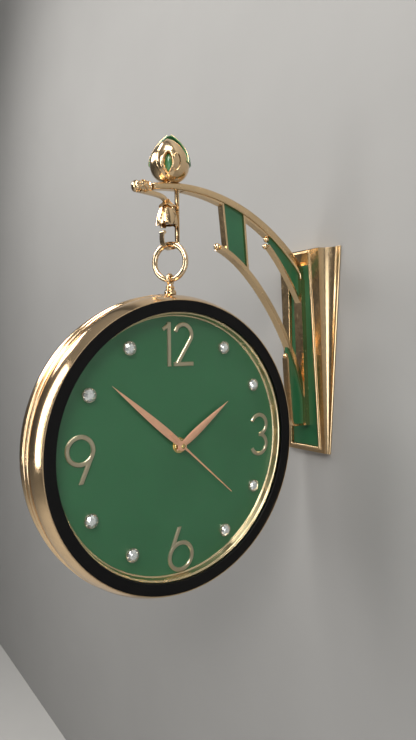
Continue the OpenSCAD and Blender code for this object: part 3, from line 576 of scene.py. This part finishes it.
def moved(path, x, y, turn=1):
    return [(x + turn * px, y + turn * py) for px, py in path]

STROKE, FIG_T, FIG_H, FIG_R = 5.0, 2.0, 54.0, 129.0
# the second stroke of a figure lies this much lower, so that no faces coincide
STEP = 0.06
# height of the 12, the places of its two figures, and half the width of the 2
TWELVE_Y, ONE_X, TWO_X, TWO_R = 123, -14, 7, 14.5

def six(s, x, y, h, w, turn):
    """The 6, or the 9 when turn is -1: a closed bowl with a straight leaning stem."""
    c, lean = (w - h) / 2, math.radians(24)
    bowl = arc(0, c, (w - STROKE) / 2, 0, 360, 72)[:-1]
    x0 = 0.15 - w / 2 + STROKE / 2
    def up(q):
        return (x0 * math.cos(lean) + q * math.sin(lean), c - x0 * math.sin(lean) + q * math.cos(lean))
    far = (h / 2 - c + x0 * math.sin(lean)) / math.cos(lean)
    stroke(s, moved(bowl, x, y, turn), STROKE, FIG_T, closed=True)
    stem = moved([up(-1.2), up(far / 2), up(far)], x, y, turn)
    stroke(s, stem, STROKE, FIG_T - STEP, level=y + turn * h / 2)

for side, word in enumerate(("front", "rear")):
    s = Shape(dial_place(side))
    h = FIG_H * 0.98
    one_flag = [(-8.5, h / 2 - 8.8), (-4.5, h / 2 - 6), (0.6, h / 2 - 2.6)]
    stroke(s, moved([(0, h / 2), (0, 0), (0, -h / 2)], ONE_X, TWELVE_Y), STROKE, FIG_T)
    stroke(s, moved(one_flag, ONE_X, TWELVE_Y), STROKE * 0.86, FIG_T - STEP)
    two_foot = (STROKE - h) / 2
    two_arc = arc(0, h / 2 - TWO_R, TWO_R - STROKE / 2, 165, -32, 30)
    stroke(s, moved(two_arc + [(-TWO_R + STROKE, two_foot)], TWO_X, TWELVE_Y), STROKE, FIG_T)
    two_line = [(-TWO_R, two_foot), (0, two_foot), (TWO_R, two_foot)]
    stroke(s, moved(two_line, TWO_X, TWELVE_Y), STROKE, FIG_T - STEP)
    r = (FIG_H * 1.08 - STROKE) / 4
    stroke(s, moved(arc(0, r, r, 158, -90, 36), FIG_R + 2, 0), STROKE, FIG_T)
    stroke(s, moved(arc(0, -r, r, 90, -158, 36), FIG_R + 2, 0), STROKE, FIG_T - STEP)
    six(s, 0, -FIG_R + 1, FIG_H * 1.03, 38, 1)
    six(s, -FIG_R, 0, FIG_H * 0.98, 35, -1)
    piece(f"figures_cut_{word}", s.v, s.f, FIGURE, "case", [f"figures_{word}"], smooth=False)

# ------------------------------------------------------------------ crystals in their claws
def brilliant(s, cx, cy, z0, r, turn):
    """Round brilliant cut: table, star and kite facets, girdle, pavilion."""
    def ring(n, rr, z, off):
        return s.put([(cx + rr * math.cos(2 * math.pi * (k + off) / n + turn),
                       cy + rr * math.sin(2 * math.pi * (k + off) / n + turn), z) for k in range(n)])
    table = ring(8, r * 0.55, z0 + r * 0.40, 0)
    mid = ring(8, r * 0.80, z0 + r * 0.24, 0.5)
    girdle = ring(16, r, z0 + 0.04 * r, 0)
    low = ring(16, r, z0 - 0.04 * r, 0)
    pav = ring(8, r * 0.45, z0 - r * 0.36, 0)
    culet = s.put([(cx, cy, z0 - r * 0.55)])[0]
    s.f.append(tuple(table))
    for k in range(8):
        k1 = (k + 1) % 8
        g = 2 * k
        s.f.append((table[k], table[k1], mid[k]))
        s.f.append((table[k], mid[k], girdle[g], mid[(k - 1) % 8]))
        s.f.append((mid[k], girdle[g], girdle[g + 1]))
        s.f.append((mid[k], girdle[g + 1], girdle[(g + 2) % 16]))
        s.f.append((low[g], low[g + 1], pav[k]))
        s.f.append((low[g + 1], low[(g + 2) % 16], pav[k1], pav[k]))
        s.f.append((pav[k], pav[k1], culet))
    for k in range(16):
        k1 = (k + 1) % 16
        s.f.append((girdle[k], girdle[k1], low[k1], low[k]))

CRYSTAL_RING, STONE_R, STONE_Z, PRONGS = 137, 6.8, 20.5, 8
stones, cups = Shape(), Shape()
for side in (0, 1):
    stones.place = cups.place = dial_place(side)
    for i in range(12):
        if i % 3 == 0:
            continue
        a = math.radians(30 * i)
        cx, cy = CRYSTAL_RING * math.sin(a), CRYSTAL_RING * math.cos(a)
        brilliant(stones, cx, cy, STONE_Z, STONE_R, 0.3 * i)
        cups.lathe([(5.4, 16.5), (7.7, 16.5), (7.4, 17.3), (8.0, 18.6), (8.3, 19.7), (8.0, 20.4), (7.3, 20.3),
                    (7.05, 19.4), (5.4, 18.0)], (cx, cy), n=64,
                   shape=lambda t, r, z: (r + (0.3 * math.cos(16 * t) if r > 7.75 else 0), z), loop=True)
        for k in range(PRONGS):
            b = 2 * math.pi * (k + 0.5) / PRONGS + 0.3 * i
            px, py = cx + 7.35 * math.cos(b), cy + 7.35 * math.sin(b)
            ix, iy = cx + 6.35 * math.cos(b), cy + 6.35 * math.sin(b)
            cups.tube([(px, py, 19.0), (px, py, 20.4), (px * 0.6 + ix * 0.4, py * 0.6 + iy * 0.4, 21.2),
                       (ix, iy, 21.4)], lambda t: 0.95 - 0.25 * t, n=10)
piece("cut_crystals", stones.v, stones.f, CRYSTAL, "case", ["crystals"], smooth=False)
piece("crystal_cups", cups.v, cups.f, CLAW, "case", ["crystal_claws"])

# ------------------------------------------------------------------ finial: a bud with an almond opening
# height of the bud's foot, its own height and its radius, and the place of its axis
FZ, FH, FR, FY = 208.6, 53.0, 24.2, -251
# where the opening starts, from 0 at the bud's foot to 1 at its tip, and how far it goes on
OPEN_FROM, OPEN_SPAN = 0.235, 0.33
def smooth_step(x):
    x = max(0.0, min(1.0, x))
    return x * x * (3 - 2 * x)

def bud_radius(t):
    h = (1 - math.cos(math.pi * t)) / 2
    if h < 0.42:
        return FR * math.sqrt(1 - ((0.42 - h) / 0.44) ** 2.2)
    return FR * math.cos(math.pi / 2 * (h - 0.42) / 0.58) ** 0.66

def bud(turn, grow=0.0, t0=0.03, t1=0.995, a0=0, a1=360, slit=True, rows_n=90, cols=144):
    rows = []
    for i in range(rows_n + 1):
        t = t0 + (t1 - t0) * i / rows_n
        z = FH * (1 - math.cos(math.pi * t)) / 2
        row = []
        for k in range(cols + (0 if a1 - a0 >= 360 else 1)):
            deg = a0 + (a1 - a0) * k / cols
            r = bud_radius(t) + grow
            d = (deg + 180) % 360 - 180
            if slit:
                # almond opening that leans a little, with a rolled lip round it
                middle = 5 + 6 * (t - 0.5)
                half = 0
                if OPEN_FROM < t < OPEN_FROM + OPEN_SPAN:
                    half = 13 * math.sin(math.pi * (t - OPEN_FROM) / OPEN_SPAN) ** 0.9
                x = abs(d - middle)
                if half > 0:
                    edge = (half - x) / 5.5
                    r -= 12 * smooth_step(edge)
                    r += 1.9 * math.exp(-((x - half - 2.6) / 3.6) ** 2) * min(1, half / 6)
                # fold that runs from the tip down the left of the opening and closes under it
                fold = -5 - 26 * math.sin(math.pi * t) ** 1.3
                crease = 1.5 * math.exp(-((d - fold) / 4.5) ** 2)
                r += crease * smooth_step((1.02 - t) / 0.12) * smooth_step((t - 0.06) / 0.1)
                # shallow dents between the petals on the far side
                r -= 1.1 * math.exp(-((abs(d) - 120) / 9) ** 2) * math.sin(math.pi * t)
            a = math.radians(deg + turn)
            row.append((r * math.cos(a), FY + r * math.sin(a), FZ + z))
        rows.append(row)
    return rows

BUD_TURN = -42
s = Shape()
s.rings(bud(BUD_TURN), cap0=True, cap1=True)
piece("finial_bud", s.v, s.f, GOLD, "bracket", ["finial_shell"], angle=80)
# curl beside the opening
s = Shape()
pts = []
CURL_ROWS = 39
for i in range(CURL_ROWS + 1):
    u = i / CURL_ROWS
    a = math.radians(-150 + 330 * u)
    pts.append((6.5 * math.cos(a) * (1 - 0.25 * u), 10.5 * math.sin(a) * (1 - 0.15 * u)))
path = []
for px, pz in pts:
    ang = math.radians(BUD_TURN + 30 + px * 1.9)
    zz = 19.5 + pz
    t = math.acos(max(-1, min(1, 1 - 2 * zz / FH))) / math.pi
    rr = bud_radius(t) + 0.4
    path.append((rr * math.cos(ang), FY + rr * math.sin(ang), FZ + zz))
s.tube(path, lambda t: 1.1 * (1 - 0.4 * t), n=12)
piece("finial_curl", s.v, s.f, GOLD, "bracket")
# green heart inside the opening
s = Shape()
heart = math.radians(BUD_TURN + 4)
s.lathe([(4.6 * math.sin(math.pi * i / 24) ** 0.8 + 0.05, FZ + 7 + 28 * i / 24) for i in range(25)],
        (13.5 * math.cos(heart), FY + 13.5 * math.sin(heart)), n=40, cap=True)
piece("finial_heart", s.v, s.f, LIT_GREEN, "bracket")
# green petal behind, with its gold rim
LEAF_RIM = 0.32
s = Shape()
outer = bud(BUD_TURN, 1.9, 0.44, 0.97, 70, 268, False, 40, 80)
inner = bud(BUD_TURN, 0.3, 0.44, 0.97, 70, 268, False, 40, 80)
def lift(rows, up):
    out = []
    for i, row in enumerate(rows):
        t = i / (len(rows) - 1)
        out.append([(x, y, z + up * t ** 2) for x, y, z in row])
    return out
outer, inner = lift(outer, 4.6), lift(inner, 4.0)
ids_o = s.rings(outer, closed=False)
ids_i = s.rings(inner, closed=False)
n = len(ids_o[0])
for k in range(n - 1):
    s.f.append((ids_o[0][k], ids_o[0][k + 1], ids_i[0][k + 1], ids_i[0][k]))
    s.f.append((ids_o[-1][k], ids_o[-1][k + 1], ids_i[-1][k + 1], ids_i[-1][k]))
for i in range(len(ids_o) - 1):
    for k in (0, n - 1):
        s.f.append((ids_o[i][k], ids_o[i + 1][k], ids_i[i + 1][k], ids_i[i][k]))
piece("finial_leaf", s.v, s.f, LIT_GREEN, "bracket", ["finial_petal"], angle=60)
s = Shape()
for edge in ([row[0] for row in outer], [row[-1] for row in outer], outer[-1]):
    s.tube(edge, LEAF_RIM, n=10)
piece("finial_leaf_rim", s.v, s.f, GOLD, "bracket")

# ------------------------------------------------------------------ bell flower under the arm
s = Shape()
# place of the flower's axis, height of its top, and its length
BY, BT, BL = -255.6, 187.0, 31.0
def petal(a, r, z):
    # four oval petals with raised rims, and a ridge showing in each gap between them
    d = max(0.0, min(1.0, (BT - z) / BL))
    u = (math.degrees(a) + 10 + 45) % 90 - 45
    half = 33 * math.sin(math.pi * max(0.02, min(0.98, 0.05 + 0.88 * d))) ** 0.45
    on = smooth_step((half - abs(u)) / 3 + 0.5)
    rim = math.exp(-((abs(u) - half + 4.5) / 2.6) ** 2)
    gap = math.exp(-((45 - abs(u)) / 4) ** 2)
    swell = smooth_step(d / 0.25)
    rr = r + swell * (0.35 * on + 0.75 * rim - 0.9 * (1 - on) + 0.9 * gap)
    return rr, z + 1.6 * (1 - on) * smooth_step((d - 0.8) / 0.2)
BELL_ROWS = 30
bell_profile = []
for i in range(BELL_ROWS + 1):
    t = i / BELL_ROWS
    r = 2.6 + 9.6 * math.sin(math.pi / 2 * min(1, t * 1.05)) ** 0.85
    bell_profile.append((r, BT - BL * t))
inside = [(max(0.3, r - 1.3 - 0.3 * (i / BELL_ROWS)), z + 0.2) for i, (r, z) in enumerate(bell_profile)]
s.lathe(bell_profile + inside[:4:-1], (0, BY), n=180, shape=petal, cap=True)
# calyx with pointed sepals
def sepal(a, r, z):
    d = (BT + 1.5 - z) / 11
    return r + 0.25, z + 2.6 * (0.5 - 0.5 * math.cos(5 * a)) * smooth_step((d - 0.35) / 0.65)
s.lathe([(0.3, BT + 1.5), (3.0, BT + 1.4), (4.2, BT - 1), (6.6, BT - 4.2), (8.7, BT - 7.4),
         (9.5, BT - 9.2), (8.6, BT - 9.0), (5.0, BT - 3)], (0, BY), n=100, shape=sepal, cap=True)
# pistil
s.tube([(0, BY, BT - 12), (0, BY, BT - 24), (0, BY, BT - 28.5)], lambda t: 1.5 if t < 0.6 else 2.3, n=16)
piece("bell_petals", s.v, s.f, GOLD, "bracket", ["flower_bell"], angle=50)

# ------------------------------------------------------------------ bud on the arm's tip
tilt = math.radians(8)
TIP_Y, TIP_Z = -279.6, 199.25
def bud_place(x, y, z):
    x, y, z = 1.1 * x, 1.1 * y, 0.95 * z
    ahead_y = TIP_Y - z * math.cos(tilt) + y * math.sin(tilt)
    return (x, ahead_y, TIP_Z - z * math.sin(tilt) - y * math.cos(tilt))
s = Shape(bud_place)
def lobes(a, r, z):
    g = smooth_step((z - 5) / 5) * smooth_step((25.5 - z) / 5)
    return r * (1 - 0.13 * g * (1 - abs(math.cos(3 * a + 0.10 * z))) ** 1.5), z
collar = [(0.2, 0.3), (5.4, 0.3), (5.9, 0.8), (5.9, 2.0), (5.1, 2.9), (4.5, 3.6)]
lower_swell = [(4.9, 4.6), (6.0, 6.5), (6.6, 9), (6.7, 11.5), (6.2, 14), (5.6, 15.4)]
upper_swell = [(6.0, 16.8), (6.6, 18.6), (6.5, 20.6), (5.6, 22.6), (4.0, 24.2), (2.2, 25.0), (0.2, 25.2)]
s.lathe(collar + lower_swell + upper_swell, n=96, shape=lobes, cap=True)
def cup(a, r, z):
    return r, z + 1.7 * math.cos(5 * a) * smooth_step((z - 4) / 5)
s.lathe([(4.4, 3.4), (5.6, 4.4), (6.8, 6.6), (7.3, 9.4), (7.2, 10.2), (6.3, 9.8), (5.0, 6)], n=100,
        shape=cup, loop=True)
piece("tip_bud_petals", s.v, s.f, GOLD, "bracket", ["tip_bud"], angle=50)

# ------------------------------------------------------------------ foot with hollowed flanks
FOOT_H, FOOT_TOP = 302, 151
RECESS_LOW, RECESS_HIGH, RECESS_DEEP = -145, 148, 5.2
FRONT_HALF, FLANK, LIP = 38, 14, 2.9
def foot_depth(z):
    return 16.25 + z * 15.5 / FOOT_H
s = Shape()
zs = [-FOOT_TOP, -146, RECESS_LOW] + [RECESS_LOW + 294 * i / 40 for i in range(1, 40)]
zs += [RECESS_HIGH, 148.6, FOOT_TOP]
rows = []
for z in zs:
    d = foot_depth(z)
    wall = 42 + 18 * (z + FOOT_TOP) / FOOT_H
    recess = min(max(z, RECESS_LOW), RECESS_HIGH) - RECESS_LOW
    xr = 31 - 8 * recess / (RECESS_HIGH - RECESS_LOW)
    half = [(wall, 0.0), (wall, 2.2), (wall - 0.6, LIP)]
    for i in range(FLANK + 1):
        turn = math.pi / 2 * (i / FLANK)
        half.append((FRONT_HALF + (wall - 2.5 - FRONT_HALF) * (1 - math.sin(turn)),
                     LIP + (d - LIP) * (1 - math.cos(turn))))
    half.append((xr, d))
    full = [(-x, q) for x, q in half] + [(x, q) for x, q in reversed(half)]
    # the two end faces lean inwards towards the front
    lean = (1 if z > 0 else -1) * 1.6
    rows.append([(x, -q, z - lean * q / max(d, 1) * (abs(z) > 150)) for x, q in full])
ids = [s.put(r) for r in rows]
m = len(ids[0])
for j, (a, b) in enumerate(zip(ids, ids[1:])):
    inside = 2 <= j < len(ids) - 3
    for i in range(m - 1):
        if i == m // 2 - 1 and inside:
            continue
        s.f.append((a[i], a[i + 1], b[i + 1], b[i]))
s.f.append(tuple(ids[0]))
s.f.append(tuple(reversed(ids[-1])))
# the recess for the green panel: two side walls, two ends and a floor
inner = ids[2:len(ids) - 2]
def recess_floor(column):
    """Walls the recess on one side, and returns the points along the foot of that wall."""
    edge = [row[column] for row in rows[2:len(rows) - 2]]
    low = s.put([(x, y + RECESS_DEEP, z) for x, y, z in edge])
    for k in range(len(inner) - 1):
        s.f.append((inner[k][column], inner[k + 1][column], low[k + 1], low[k]))
    return low
left_low = recess_floor(m // 2 - 1)
low = recess_floor(m // 2)
for k in (0, len(inner) - 1):
    s.f.append((inner[k][m // 2 - 1], inner[k][m // 2], low[k], left_low[k]))
s.f += [(left_low[k], low[k], low[k + 1], left_low[k + 1]) for k in range(len(low) - 1)]
o = piece("foot_shell", s.v, s.f, CAST, "bracket", ["foot_casting"])
shell = o.modifiers.new("wall", "SOLIDIFY")
shell.thickness = 0.0016
shell.offset = -1
bev = o.modifiers.new("ease", "BEVEL")
bev.width = 0.0011
bev.segments = 3
bev.limit_method = "ANGLE"
bev.angle_limit = math.radians(38)

# ------------------------------------------------------------------ edges of the cast and turned CAD pieces
for name, width in (("top_bar", 0.0024), ("lower_bar", 0.0018), ("inner_bar", 0.0009), ("slat_rims", 0.0009),
                    ("fin_rim", 0.0009), ("arm_spine", 0.0016), ("foot_moulding", 0.0007), ("hook", 0.0008),
                    ("flower_stem", 0.0011), ("swivel_collar", 0.0007), ("wall_plate", 0.0005),
                    ("movement_front", 0.0008), ("movement_rear", 0.0008)):
    ease(name, width)
